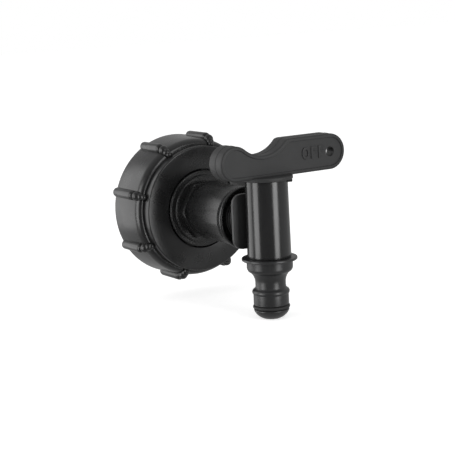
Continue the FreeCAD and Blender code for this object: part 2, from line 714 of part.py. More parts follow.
def make_spool():
    """Hollow spool with its square, its ring and the hose nozzle below, in one moulding."""
    body = new_body("outlet_plug")
    square = new_sketch(body, "XY_Plane", "square_outline", offset=s.barrel_rise)
    half = socket_half - s.square_clearance
    outline(square, box_corners(-half, half, -half, half))
    padded(body, "square", square, s.square_length)
    bore_top = s.port_radius + s.bore_headroom
    hub_radius = throat_radius + s.hub_step
    hub_edge = (hub_radius - s.hub_round * (as_size(1) - cosine(s.hub_round_angle)),
                hub_bottom - s.hub_round * sine(s.hub_round_angle))
    fall = hub_edge[1] - throat_edge
    step = hub_edge[0] - throat_radius
    sweep = (step * step + fall * fall) / (step * 2)
    flare_end = (throat_radius + s.throat_flare * (as_size(1) - cosine(s.throat_flare_angle)),
                 throat_end - s.throat_flare * sine(s.throat_flare_angle))
    bead_bottom = flare_end[1] - s.bead_length
    tip_edge = (waterway + s.tip_land, nipple_bottom() - s.tip_length)
    turned(body, "spool_and_nozzle", "XZ_Plane", [
        (ZERO, bore_top),
        (ZERO, s.barrel_rise),
        (s.spool_radius, s.barrel_rise),
        (s.spool_radius, ring_top),
        (ring_radius, ring_top),
        (ring_radius, ring_bottom),
        (hub_radius, ring_bottom),
        (hub_radius, hub_bottom, RIGHT, s.hub_round),
        (*hub_edge, LEFT, sweep),
        (throat_radius, throat_edge),
        (throat_radius, throat_end, LEFT, s.throat_flare),
        (*flare_end, RIGHT, bulge(flare_end[0] - s.nipple_radius, s.bead_length, s.bead_rise)),
        (s.nipple_radius, bead_bottom),
        (s.nipple_radius, nipple_bottom(), RIGHT,
         bulge(s.nipple_radius - tip_edge[0], s.tip_length, s.tip_bulge)),
        tip_edge,
        (waterway, tip_edge[1] - s.tip_cone),
        (waterway, bore_top),
    ])
    port = new_sketch(body, "YZ_Plane", "port_outline")
    circle(port, ZERO, ZERO, s.port_radius)
    padded(body, "port", port, barrel_bore, kind="PartDesign::Pocket")
    ring_groove(body, "upper_groove", upper_ring, s.ring_cord, s.spool_radius)
    ring_groove(body, "lower_groove", lower_ring, s.ring_cord, s.spool_radius)
    ring_groove(body, "nozzle_groove", nozzle_ring, s.nozzle_cord,
                s.nipple_radius + s.nozzle_ring_proud)
    pocket = new_sketch(body, "XZ_Plane", "seal_pocket_outline", offset=-barrel_bore)
    circle(pocket, ZERO, ZERO, seal_radius + s.seal_clearance)
    padded(body, "seal_pocket", pocket, barrel_bore - seal_floor, reverse=True,
           kind="PartDesign::Pocket")
    set_on_barrel_axis(body)
    return body


def bulge(across, up, rise):
    """Radius of the arc that rises so far above a chord that spans across and up."""
    return ((across * across + up * up) / 4 + rise * rise) / (rise * 2)


def nipple_bottom():
    """Where the nozzle's sealing barrel ends and its tip starts."""
    flare = throat_end - s.throat_flare * sine(s.throat_flare_angle)
    return flare - s.bead_length - s.nipple_length


def ring_groove(body, name, height, cord, outside):
    """A groove whose floor lies just under a ring that reaches the given outside radius."""
    floor = outside - cord * 2 - s.ring_squeeze
    half = cord + s.groove_play
    turned(body, name, "XZ_Plane", box_corners(floor, ring_radius, height - half, height + half),
           "PartDesign::Groove")


def make_oring(node, height, cord, outside):
    ring = doc.addObject("Part::Torus", node)
    ring.Label = node
    ring.setExpression("Radius1", (outside - cord).text)
    ring.setExpression("Radius2", cord.text)
    ring.setExpression("Placement.Base.z", height.text)
    set_on_barrel_axis(ring)
    return ring


def make_port_seal():
    """Rubber pad on the spool's blind side, with its face turned to the barrel's bore."""
    body = new_body("port_seal")
    pad = new_sketch(body, "XZ_Plane", "pad_outline", offset=-barrel_bore)
    circle(pad, ZERO, ZERO, seal_radius)
    padded(body, "pad", pad, barrel_bore - seal_floor)
    turned(body, "face", "XZ_Plane",
           box_corners(s.spool_radius, ring_radius, -ring_radius, ring_radius),
           "PartDesign::Groove")
    set_on_barrel_axis(body)
    return body


upper_ring = s.barrel_rise - s.upper_ring_depth
lower_ring = s.lower_ring_lift - s.barrel_drop
nozzle_ring = nipple_bottom() + s.nozzle_ring_lift
pieces = [
    make_nut(),
    make_gasket(),
    make_tailpiece(),
    make_washer(),
    make_tap_body(),
    make_lever(),
    make_spool(),
    make_oring("plug_oring_upper", upper_ring, s.ring_cord, s.spool_radius),
    make_oring("plug_oring_lower", lower_ring, s.ring_cord, s.spool_radius),
    make_oring("nozzle_oring", nozzle_ring, s.nozzle_cord, s.nipple_radius + s.nozzle_ring_proud),
    make_port_seal(),
]
doc.recompute()

for thing in doc.Objects:
    if "Invalid" in thing.State or "Error" in thing.State:
        raise RuntimeError(f"{thing.Label} failed: {thing.State}")
for piece in pieces:
    if piece.Shape.isNull() or not piece.Shape.isValid():
        raise RuntimeError(f"{piece.Label} has no valid shape")

os.makedirs("parts", exist_ok=True)
for piece in pieces:
    piece.Shape.exportStep(f"parts/{piece.Label}.step")
    box = piece.Shape.BoundBox
    print(f"{piece.Label:18} {piece.Shape.Volume:9.1f} mm3, solids {len(piece.Shape.Solids)}, "
          f"X {box.XMin:.2f}..{box.XMax:.2f}, Y {box.YMin:.2f}..{box.YMax:.2f}, "
          f"Z {box.ZMin:.2f}..{box.ZMax:.2f}")
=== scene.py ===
# %% [markdown]
# # Tap for a bulk liquid container
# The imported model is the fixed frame: it says where every piece goes and how it moves. This script
# draws the moulded pieces again with their roundings, threads and grain, and gives each its finish.

# %% Load the frame
import json
import math

import bmesh
import bpy
from mathutils import Matrix, Vector


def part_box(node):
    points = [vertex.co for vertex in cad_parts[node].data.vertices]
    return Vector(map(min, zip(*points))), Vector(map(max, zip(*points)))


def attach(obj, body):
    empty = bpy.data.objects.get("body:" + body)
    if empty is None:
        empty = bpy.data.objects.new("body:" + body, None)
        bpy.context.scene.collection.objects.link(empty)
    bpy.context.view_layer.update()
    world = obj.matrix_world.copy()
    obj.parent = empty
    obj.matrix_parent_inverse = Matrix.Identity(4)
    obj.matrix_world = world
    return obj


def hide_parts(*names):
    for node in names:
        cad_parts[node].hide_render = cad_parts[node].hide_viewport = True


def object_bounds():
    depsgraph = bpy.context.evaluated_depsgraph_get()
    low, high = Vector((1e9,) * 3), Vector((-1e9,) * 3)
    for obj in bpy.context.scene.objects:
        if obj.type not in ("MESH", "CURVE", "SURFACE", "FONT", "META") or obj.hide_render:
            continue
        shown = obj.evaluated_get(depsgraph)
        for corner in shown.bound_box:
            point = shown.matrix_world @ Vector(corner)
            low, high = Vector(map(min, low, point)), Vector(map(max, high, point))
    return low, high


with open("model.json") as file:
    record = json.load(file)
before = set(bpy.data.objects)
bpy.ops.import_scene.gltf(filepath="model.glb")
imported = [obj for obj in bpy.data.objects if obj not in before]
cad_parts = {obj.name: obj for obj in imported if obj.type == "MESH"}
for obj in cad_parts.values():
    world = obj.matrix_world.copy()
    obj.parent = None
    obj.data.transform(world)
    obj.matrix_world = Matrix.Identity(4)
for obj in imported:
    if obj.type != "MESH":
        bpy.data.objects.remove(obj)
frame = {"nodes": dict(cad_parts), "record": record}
cad_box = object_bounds()

# %% [markdown]
# ## Working in millimetres
# Moulded plastic is easiest to think about in millimetres, while Blender works in metres. Every
# piece is therefore drawn in millimetres and made smaller by a thousand at the very end. The
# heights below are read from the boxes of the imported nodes, so that a piece sits where its solid is.

# %% Heights and the two axes
MM = 0.001


def box_mm(node):
    """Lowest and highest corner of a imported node, in millimetres."""
    low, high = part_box(node)
    return low / MM, high / MM


nut_low, nut_high = box_mm("swivel_nut")
tail_low, tail_high = box_mm("tailpiece")
tap_low, tap_high = box_mm("tap_body")
lever_low, lever_high = box_mm("lever_handle")
spool_low, spool_high = box_mm("outlet_plug")
barrel_y = (spool_low.y + spool_high.y) / 2
print(f"nut {nut_low.y:.1f} to {nut_high.y:.1f}, barrel axis at {barrel_y:.1f}")

# %% Two ways of standing: along the pipe and on the barrel's axis
ALONG_PIPE = Matrix.Rotation(math.radians(-90), 4, "X")
ON_BARREL = Matrix.Translation((0, barrel_y, 0))
ON_TAP_PIPE = ON_BARREL @ ALONG_PIPE
print("a shape turned about Z is laid along Y by", ALONG_PIPE.to_euler())

# %% [markdown]
# ## A pen for outlines
# Almost every piece starts as an outline: a cross-section to turn, or a side view to thicken. The
# pen draws it in the XZ plane with two bmesh operators. A straight run is an extruded vertex, and
# an arc is a vertex spun about the arc's centre. A corner can ask to be softened, and then the
# bevel operator rounds it, as a toolmaker does, because no moulded corner is perfectly sharp.

# %% The pen
LEFT, RIGHT = -1, 1


class Pen:
    def __init__(self, across, up, soft=0):
        self.mesh = bmesh.new()
        self.tip = self.first = self.mesh.verts.new((across, 0, up))
        self.corners = [(self.first, soft)] if soft else []

    def line(self, across, up, soft=0):
        self.tip = bmesh.ops.extrude_vert_indiv(self.mesh, verts=[self.tip])["verts"][0]
        self.tip.co = (across, 0, up)
        if soft:
            self.corners.append((self.tip, soft))
        return self

    def arc(self, across, up, radius, side, steps=6):
        """Short arc from the tip to a point, turning left or right."""
        start, end = self.tip.co.copy(), Vector((across, 0, up))
        half = (end - start) / 2
        away = Vector((half.z, 0, -half.x)).normalized() * side
        centre = start + half + away * math.sqrt(max(radius ** 2 - half.length_squared, 0))
        turn = 2 * math.asin(min(half.length / radius, 1)) * side
        spun = bmesh.ops.spin(self.mesh, geom=[self.tip], cent=centre, axis=(0, 1, 0),
                              angle=turn, steps=steps)
        self.tip = next(part for part in spun["geom_last"] if isinstance(part, bmesh.types.BMVert))
        self.tip.co = end
        return self

    def close(self):
        """Join the tip to the first point and soften the corners that asked for it."""
        bmesh.ops.contextual_create(self.mesh, geom=[self.tip, self.first])
        for radius in sorted({soft for _, soft in self.corners}):
            alike = [corner for corner, soft in self.corners if soft == radius]
            bmesh.ops.bevel(self.mesh, geom=alike, offset=radius, segments=4, profile=0.5,
                            affect="VERTICES", material=-1)
        return self.mesh


sample = Pen(0, 0).line(4, 0, soft=1).line(4, 3).close()
print("a triangle with one soft corner has", len(sample.verts), "points")
sample.free()

# %% [markdown]
# ## From outline to solid
# A turned piece is its outline spun a full circle, with the last ring merged into the first so that
# no seam is left. A slab is its outline filled and extruded. Points that meet on the axis are merged
# before the normals are worked out, because a spin can turn a shape inside out.

# %% Turning and thickening
FULL_TURN = 2 * math.pi


def turned(outline, steps=192):
    bmesh.ops.spin(outline, geom=outline.verts[:] + outline.edges[:], axis=(0, 0, 1),
                   angle=FULL_TURN, steps=steps, use_merge=True)
    return outline


def slab(outline, thickness):
    """Fill the outline, thicken it along Y and centre it on the XZ plane."""
    side = bmesh.ops.contextual_create(outline, geom=outline.edges[:])["faces"]
    grown = bmesh.ops.extrude_face_region(outline, geom=side)["geom"]
    moved = [part for part in grown if isinstance(part, bmesh.types.BMVert)]
    bmesh.ops.translate(outline, verts=moved, vec=(0, thickness, 0))
    bmesh.ops.translate(outline, verts=outline.verts[:], vec=(0, -thickness / 2, 0))
    return outline


def rounded(mesh, keep, size, segments=3):
    """Bevel the edges that pass the test."""
    bmesh.ops.bevel(mesh, geom=[edge for edge in mesh.edges if keep(edge)], offset=size,
                    segments=segments, profile=0.5, affect="EDGES", material=-1)
    return mesh


def swept(outline, middle, sweep, steps=8):
    """Turn a closed outline through part of a circle about Z, in degrees, and cap its ends."""
    bmesh.ops.rotate(outline, verts=outline.verts[:],
                     matrix=Matrix.Rotation(math.radians(middle - sweep / 2), 3, "Z"))
    bmesh.ops.spin(outline, geom=outline.verts[:] + outline.edges[:], axis=(0, 0, 1),
                   angle=math.radians(sweep), steps=steps)
    bmesh.ops.holes_fill(outline, edges=[edge for edge in outline.edges if edge.is_boundary])
    return outline


# %% Finishing a piece
def finished(name, mesh, place=Matrix(), sharp=35):
    """Merge, turn faces outward, put the shape in place in metres and make an object of it."""
    bmesh.ops.remove_doubles(mesh, verts=mesh.verts[:], dist=0.001)
    bmesh.ops.recalc_face_normals(mesh, faces=mesh.faces[:])
    bmesh.ops.transform(mesh, matrix=Matrix.Scale(MM, 4) @ place, verts=mesh.verts[:])
    data = bpy.data.meshes.new(name)
    mesh.to_mesh(data)
    mesh.free()
    data.shade_smooth()
    data.set_sharp_from_angle(angle=math.radians(sharp))
    piece = bpy.data.objects.new(name, data)
    bpy.context.scene.collection.objects.link(piece)
    print(f"{name}: {len(data.polygons)} faces")
    return piece


# %% [markdown]
# ## Swivel nut: skirt and front wall
# The nut is one thick moulding: a skirt that tapers towards its shoulder, a raised front with a big
# hole, and a bore for the container's coarse thread. It is a turned shape, so one outline makes it.

# %% Nut outline
nut_front, nut_back = nut_low.y, nut_high.y
SHOULDER = nut_front + 4.5
THREAD_START = -0.05
record_mounts = {mount["name"]: mount for mount in frame["record"]["mounts"]}
THREAD_RADIUS = record_mounts["tank_thread"]["dims"]["r_mm"]
RISER = 29.9
nut_shell = finished("nut_shell", turned(
    Pen(18.7, SHOULDER, soft=0.3)
    .line(18.7, nut_front, soft=0.5)
    .line(RISER, nut_front, soft=0.7)
    .line(RISER, SHOULDER)
    .line(30.3, SHOULDER)
    .arc(31.83, SHOULDER + 0.71, 2.0, LEFT, 5)
    .arc(32.95, SHOULDER + 3.58, 5.0, LEFT, 6)
    .line(33.9, nut_back, soft=0.5)
    .line(THREAD_RADIUS + 0.8, nut_back)
    .line(THREAD_RADIUS, nut_back - 0.8)
    .line(THREAD_RADIUS, THREAD_START)
    .line(27.8, THREAD_START, soft=0.3)
    .line(27.8, SHOULDER)
    .close(), steps=256), ALONG_PIPE)

# %% [markdown]
# ## Swivel nut: grip ribs
# Eight ribs give fingers or a strap wrench something to push on. Each is a half-round bar with a
# domed nose, half sunk in the skirt. From its nose three smaller balls step down over the shoulder to
# the raised front, as a ball-ended cutter leaves them in the mould.

# %% One rib: a bar, a knob and a tail
RIB_COUNT = 8
RIB_PHASE = 16.1
BAR_RADIUS = 2.3
BAR_AT = 33.8
BAR_NOSE = nut_front + 7.4
STEP_BALLS = [(33.1, nut_front + 6.7, 2.25), (31.9, nut_front + 5.1, 1.9),
              (30.8, nut_front + 3.9, 1.5)]
rib = turned(
    Pen(0, BAR_NOSE)
    .arc(BAR_RADIUS, BAR_NOSE + BAR_RADIUS, BAR_RADIUS, LEFT, 10)
    .line(BAR_RADIUS, nut_back, soft=1.4)
    .line(0, nut_back)
    .close(), steps=40)
bmesh.ops.translate(rib, verts=rib.verts[:], vec=(BAR_AT, 0, 0))
for across, up, radius in STEP_BALLS:
    bmesh.ops.create_uvsphere(rib, u_segments=32, v_segments=16, radius=radius,
                              matrix=Matrix.Translation((across, 0, up)))
print("one rib has", len(rib.faces), "faces")

# %% Eight ribs round the nut
bmesh.ops.rotate(rib, verts=rib.verts[:], matrix=Matrix.Rotation(math.radians(RIB_PHASE), 3, "Z"))
bmesh.ops.spin(rib, geom=rib.verts[:] + rib.edges[:] + rib.faces[:], axis=(0, 0, 1),
               angle=FULL_TURN * (RIB_COUNT - 1) / RIB_COUNT, steps=RIB_COUNT - 1,
               use_duplicate=True)
nut_ribs = finished("nut_ribs", rib, ALONG_PIPE, sharp=50)

# %% [markdown]
# ## Screw threads
# A thread is a ridge that climbs as it turns. The spin operator does that by itself when it is given
# a small shift along the axis for every step. The ridge's cross-section is drawn against the wall it
# grows from and reaches a little into it, and the two ends are capped.

# %% A climbing ridge
STEPS_A_TURN = 72


def thread_ridge(outline, pitch, turns):
    bmesh.ops.spin(outline, geom=outline.verts[:] + outline.edges[:], axis=(0, 0, 1),
                   dvec=(0, 0, pitch / STEPS_A_TURN), angle=FULL_TURN * turns,
                   steps=round(STEPS_A_TURN * turns))
    bmesh.ops.holes_fill(outline, edges=[edge for edge in outline.edges if edge.is_boundary])
    return outline


nut_thread = finished("nut_thread", thread_ridge(
    Pen(THREAD_RADIUS + 0.5, 0.2)
    .line(THREAD_RADIUS, 0.2)
    .line(27.9, 1.1, soft=0.3)
    .line(27.9, 2.1, soft=0.3)
    .line(THREAD_RADIUS, 4.6)
    .line(THREAD_RADIUS + 0.5, 4.6)
    .close(), 6.0, 1.55), ALONG_PIPE)

# %% [markdown]
# ## Tailpiece
# The tailpiece is what the nut pulls against the container: a flange, a round collar, a spanner
# hexagon and a long boss with a female thread for the tap. All but the hexagon is one turned shape
# with its waterway down the middle. The rim of the boss swells a little where the mould opens.

# %% Turned part of the tailpiece
FLANGE_FRONT = tail_high.y - 3.0
COLLAR_FRONT = FLANGE_FRONT - 5.1
HEX_BACK = COLLAR_FRONT - 1.8
HEX_FRONT = HEX_BACK - 3.2
boss_mouth = tail_low.y
tail_pipe = finished("tail_pipe", turned(
    Pen(15.0, tail_high.y, soft=0.3)
    .line(tail_high.x, tail_high.y, soft=0.3)
    .line(tail_high.x, FLANGE_FRONT, soft=0.4)
    .line(18.2, FLANGE_FRONT)
    .line(18.2, COLLAR_FRONT, soft=0.6)
    .line(16.2, COLLAR_FRONT)
    .line(16.2, HEX_BACK, soft=0.5)
    .line(12.3, HEX_BACK)
    .line(12.3, HEX_FRONT - 1.6, soft=0.8)
    .line(13.65, HEX_FRONT - 4.0, soft=0.8)
    .line(13.65, boss_mouth + 3.8, soft=0.8)
    .line(14.5, boss_mouth + 0.8, soft=0.3)
    .line(14.0, boss_mouth, soft=0.4)
    .line(13.3, boss_mouth, soft=0.15)
    .line(13.0, boss_mouth + 0.5)
    .line(13.0, boss_mouth + 2.3)
    .line(9.42, boss_mouth + 2.3, soft=0.2)
    .line(9.42, boss_mouth + 14.2)
    .line(7.0, boss_mouth + 14.2)
    .line(7.0, tail_high.y - 11.0)
    .line(15.0, tail_high.y - 6.0)
    .close(), steps=192), ALONG_PIPE)

# %% [markdown]
# ## Spanner hexagon
# A six-sided circle is thickened and bevelled. Water has to pass through it, so both its ends are
# opened: each end face is filled again round a circle, and the two circles are bridged.

# %% Piercing a slab
UPRIGHT = Matrix.Rotation(math.radians(90), 4, "X")


def pierced(mesh, radius, across=0, up=0):
    """Put a round hole through the two flat ends of a slab that stands across Y."""
    ends = [face for face in mesh.faces if abs(face.normal.y) > 0.99]
    rims = []
    for end in sorted(ends, key=lambda face: face.calc_area())[-2:]:
        place = Matrix.Translation((across, end.verts[0].co.y, up)) @ UPRIGHT
        verts = bmesh.ops.create_circle(mesh, segments=48, radius=radius, matrix=place)["verts"]
        circle = list({edge for vert in verts for edge in vert.link_edges})
        edge_loop = end.edges[:]
        bmesh.ops.delete(mesh, geom=[end], context="FACES_ONLY")
        bmesh.ops.triangle_fill(mesh, edges=edge_loop + circle, use_beauty=True)
        rims += circle
    bmesh.ops.bridge_loops(mesh, edges=rims)
    return mesh


# %% Hexagon round the tailpiece
HEX_ACROSS = 25.6
HEX_SIDES = 6
HEX_SUNK = 0.6
HEX_CREASE = 0.9
hexagon = bmesh.new()
bmesh.ops.create_circle(hexagon, segments=HEX_SIDES, radius=HEX_ACROSS / math.sqrt(3),
                        matrix=UPRIGHT @ Matrix.Rotation(math.radians(90), 4, "Z"))
slab(hexagon, HEX_BACK + HEX_SUNK - HEX_FRONT)
bmesh.ops.recalc_face_normals(hexagon, faces=hexagon.faces[:])
front = min(vert.co.y for vert in hexagon.verts)
rounded(hexagon, lambda edge: all(vert.co.y == front for vert in edge.verts), 0.8, segments=3)
rounded(hexagon, lambda edge: edge.calc_face_angle(0) > HEX_CREASE, 0.25, segments=2)
pierced(hexagon, 9.6)
tail_hexagon = finished("tail_hexagon", hexagon,
                        Matrix.Translation((0, (HEX_BACK + HEX_SUNK + HEX_FRONT) / 2, 0)),
                        sharp=30)

# %% [markdown]
# ## Tap body
# The tap body is a slightly tapered barrel, a square wrench plate behind it and a short threaded
# neck. The barrel is turned about the upright axis and the neck about the pipe's.

# %% Barrel and neck
barrel_shell = finished("barrel_shell", turned(
    Pen(7.65, tap_low.z, soft=0.2)
    .line(9.79, tap_low.z, soft=0.3)
    .line(9.47, tap_high.z, soft=0.3)
    .line(7.65, tap_high.z, soft=0.3)
    .close()), ON_BARREL)
PLATE_FRONT = 8.7
PLATE_BACK = PLATE_FRONT + 2.0
neck_length = tap_high.y - barrel_y
neck_pipe = finished("neck_pipe", turned(
    Pen(6.0, PLATE_FRONT + 0.6)
    .line(9.32, PLATE_FRONT + 0.6)
    .line(9.32, neck_length - 0.8)
    .line(8.52, neck_length)
    .line(6.0, neck_length, soft=0.3)
    .close(), steps=128), ON_TAP_PIPE)

# %% Wrench plate
PLATE_HALF = 12.4
PLATE_CORNER = 4.5
plate = slab(
    Pen(-PLATE_HALF, -PLATE_HALF, soft=PLATE_CORNER)
    .line(PLATE_HALF, -PLATE_HALF, soft=PLATE_CORNER)
    .line(PLATE_HALF, PLATE_HALF, soft=PLATE_CORNER)
    .line(-PLATE_HALF, PLATE_HALF, soft=PLATE_CORNER)
    .close(), PLATE_BACK - PLATE_FRONT)
bmesh.ops.recalc_face_normals(plate, faces=plate.faces[:])
rounded(plate, lambda edge: abs(edge.verts[0].co.y - edge.verts[1].co.y) < 0.1, 0.5)
pierced(plate, 4.0)
wrench_plate = finished("wrench_plate", plate, Matrix.Translation(
    (0, barrel_y + (PLATE_FRONT + PLATE_BACK) / 2, 0)))

# %% Neck thread and the fixed stop
NECK_THREAD_START = PLATE_BACK + 0.6
neck_thread = finished("neck_thread", thread_ridge(
    Pen(9.1, NECK_THREAD_START)
    .line(9.32, NECK_THREAD_START)
    .line(10.35, NECK_THREAD_START + 0.55, soft=0.12)
    .line(10.35, NECK_THREAD_START + 0.85, soft=0.12)
    .line(9.32, NECK_THREAD_START + 1.4)
    .line(9.1, NECK_THREAD_START + 1.4)
    .close(), 1.814, 4.5), ON_TAP_PIPE)
fixed_stop = finished("fixed_stop", swept(
    Pen(9.0, 17.05, soft=0.2).line(11.3, 17.05, soft=0.3).line(11.3, 18.75, soft=0.3)
    .line(9.0, 18.75).close(), -13.5, 20), ON_BARREL)

# %% [markdown]
# ## Lever: blade
# The blade is a flat plate on edge: a thumb lobe, a finger hollow and an arm with a round end. Its
# side view is made of arcs that touch one another, so the same sum gives the rim and, drawn further
# in, the sunk panel. Half the blade is built from loops and then mirrored.

# %% Side view of the blade
UNDERSIDE = 20.1
ARM_TOP = lever_high.z
LOBE_X, LOBE_R = -18.5, 7.8
HOLLOW_X, HOLLOW_FLOOR = -3.8, 10.3
ARM_X = 32.1


def blade_outline(inset, place=0.0):
    """Draw the blade's side view so far inside its rim, at one depth."""
    rise = HOLLOW_FLOOR - LOBE_R
    reach = HOLLOW_X - LOBE_X
    hollow = (reach ** 2 + rise ** 2 - LOBE_R ** 2) / (2 * (LOBE_R - rise))
    hollow_z = UNDERSIDE + HOLLOW_FLOOR + hollow
    lobe_z = UNDERSIDE + LOBE_R
    lobe, curve = LOBE_R - inset, hollow + inset
    touch = (LOBE_X + lobe * reach / (LOBE_R + hollow),
             lobe_z + lobe * (hollow_z - lobe_z) / (LOBE_R + hollow))
    low, high = UNDERSIDE + inset, ARM_TOP - inset
    end, middle = (high - low) / 2, (high + low) / 2
    corner = HOLLOW_X + math.sqrt(curve ** 2 - (hollow_z - high) ** 2)
    pen = Pen(LOBE_X, low).line(ARM_X, low)
    pen.arc(ARM_X + end, middle, end, LEFT, 14).arc(ARM_X, high, end, LEFT, 14)
    pen.line(corner, high, soft=2.0).arc(*touch, curve, RIGHT, 24)
    pen.arc(LOBE_X - lobe, lobe_z, lobe, LEFT, 16).arc(LOBE_X, low, lobe, LEFT, 14)
    mesh = pen.close()
    bmesh.ops.remove_doubles(mesh, verts=mesh.verts[:], dist=0.001)
    bmesh.ops.translate(mesh, verts=mesh.verts[:], vec=(0, place, 0))
    return mesh


# %% [markdown]
# A loop is added to the half blade at each level: the parting line where the two mould halves met,
# the side wall, the rim, the raised border, and the floor of the panel. Each is bridged to the one
# before. The floor is filled round the lanyard hole, and the hole's wall runs to the middle. On the
# far side the hole opens into a wide cone, which lets the light through.

# %% Loops of the half blade
def add_loop(mesh, outline):
    """Copy an outline into the mesh and give back its edges."""
    known = set(mesh.edges)
    data = bpy.data.meshes.new("loop")
    outline.to_mesh(data)
    outline.free()
    mesh.from_mesh(data)
    bpy.data.meshes.remove(data)
    return [edge for edge in mesh.edges if edge not in known]


HALF_BLADE = 5.0
PANEL_BORDER, PANEL_DEPTH = 1.8, 0.5
RIM = 0.8
levels = [(0.0, 0.0), (0.0, -0.12), (0.14, -0.2), (0.1, -HALF_BLADE + 0.9),
          (0.16, -HALF_BLADE + 0.45), (0.4, -HALF_BLADE + 0.14), (RIM, -HALF_BLADE)]
blade = bmesh.new()
before = None
for inset, depth in levels:
    loop = add_loop(blade, blade_outline(inset, depth))
    if before:
        bmesh.ops.bridge_loops(blade, edges=before + loop)
    before = loop
print("half blade walls:", len(blade.faces), "faces")

# %% Panel floor, lanyard hole and the other half
HOLE_RADIUS = 2.2
HOLE_CONE = 2.25
hole_at = Matrix.Translation((ARM_X, -HALF_BLADE + PANEL_DEPTH, (UNDERSIDE + ARM_TOP) / 2))
hole = bmesh.new()
bmesh.ops.create_circle(hole, segments=48, radius=HOLE_RADIUS, matrix=hole_at @ UPRIGHT)
hole_rim = add_loop(blade, hole)
side = bmesh.ops.contextual_create(blade, geom=before)["faces"]
bmesh.ops.recalc_face_normals(blade, faces=blade.faces[:])
if side[0].normal.y > 0:
    bmesh.ops.reverse_faces(blade, faces=blade.faces[:])
for across, deep in ((PANEL_BORDER - RIM - 0.2, 0), (0.1, -0.08), (0.1, 0.08 - PANEL_DEPTH)):
    bmesh.ops.inset_region(blade, faces=side, thickness=across, depth=deep, use_even_offset=True)
floor_rim = side[0].edges[:]
bmesh.ops.delete(blade, geom=side, context="FACES_ONLY")
bmesh.ops.triangle_fill(blade, edges=floor_rim + hole_rim, use_beauty=True)
hole = bmesh.new()
bmesh.ops.create_circle(hole, segments=48, radius=HOLE_RADIUS, matrix=Matrix.Translation(
    (ARM_X, 0, (UNDERSIDE + ARM_TOP) / 2)) @ UPRIGHT)
bmesh.ops.bridge_loops(blade, edges=hole_rim + add_loop(blade, hole))
bmesh.ops.mirror(blade, geom=blade.verts[:] + blade.edges[:] + blade.faces[:], axis="Y",
                 merge_dist=0.001)
far_rim = [vert for vert in blade.verts if vert.co.y > HALF_BLADE / 2
           and math.hypot(vert.co.x - ARM_X, vert.co.z - hole_at.translation.z) < HOLE_RADIUS + 0.1]
for vert in far_rim:
    vert.co.x = ARM_X + (vert.co.x - ARM_X) * HOLE_CONE
    vert.co.z = hole_at.translation.z + (vert.co.z - hole_at.translation.z) * HOLE_CONE
print("the far rim of the hole has", len(far_rim), "points")
lever_blade = finished("lever_blade", blade, ON_BARREL, sharp=38)

# %% [markdown]
# ## Lever: disc and lugs
# Under the blade a thin disc covers the barrel's top. Two lugs hang from it and meet the stop on
# the barrel, which is what limits the lever to a quarter turn.

# %% Disc and lugs
DISC_BOTTOM, DISC_TOP = 19.05, 20.8
lever_disc = finished("lever_disc", turned(
    Pen(0, DISC_BOTTOM).line(11.8, DISC_BOTTOM, soft=0.3).line(11.8, DISC_TOP, soft=0.4)
    .line(0, DISC_TOP).close()), ON_BARREL)
lug_pieces = []
for name, angle in (("near_lug", -32.5), ("far_lug", 95.5)):
    lug_pieces.append(finished(name, swept(
        Pen(9.75, lever_low.z, soft=0.3).line(11.5, lever_low.z, soft=0.3)
        .line(11.5, DISC_TOP - 0.6).line(9.75, DISC_TOP - 0.6).close(), angle, 16), ON_BARREL))

# %% [markdown]
# ## Lever: the word OFF
# The word stands up from the panel's floor, cut into the mould with a rounded letter style. Each
# letter is a text object made a mesh, laid on the panel and kept just under the border's height.

# %% Raised letters
WORD_HEIGHT = 5.5
WORD_RISE = 0.55
WORD_BOTTOM = 26.0
LETTERS = [("O", 16.6, 3.9), ("F", 21.5, 2.8), ("F", 25.5, 2.8)]
letter_pieces = []
for number, (letter, left, width) in enumerate(LETTERS):
    curve = bpy.data.curves.new("letter", "FONT")
    curve.body = letter
    curve.extrude = 0.03
    curve.offset = 0.012
    curve.bevel_depth = 0.02
    curve.bevel_resolution = 1
    text = bpy.data.objects.new("letter", curve)
    data = bpy.data.meshes.new_from_object(text)
    mesh = bmesh.new()
    mesh.from_mesh(data)
    bpy.data.objects.remove(text)
    bpy.data.meshes.remove(data)
    low = Vector([min(vert.co[axis] for vert in mesh.verts) for axis in range(3)])
    high = Vector([max(vert.co[axis] for vert in mesh.verts) for axis in range(3)])
    bmesh.ops.translate(mesh, verts=mesh.verts[:], vec=-low)
    bmesh.ops.scale(mesh, verts=mesh.verts[:], vec=(
        width / (high.x - low.x), WORD_HEIGHT / (high.y - low.y), WORD_RISE / (high.z - low.z)))
    lay = Matrix.Translation((left, -HALF_BLADE + PANEL_DEPTH + 0.1, WORD_BOTTOM)) @ UPRIGHT
    letter_pieces.append(finished(f"letter_{number}", mesh, ON_BARREL @ lay))

# %% [markdown]
# ## Spool and hose nozzle
# The spool turns inside the barrel and carries the water down to a push-fit hose nozzle: a flat ring,
# a hub that curves into a throat, a bead, and a sealing barrel with an O-ring and a round tip.

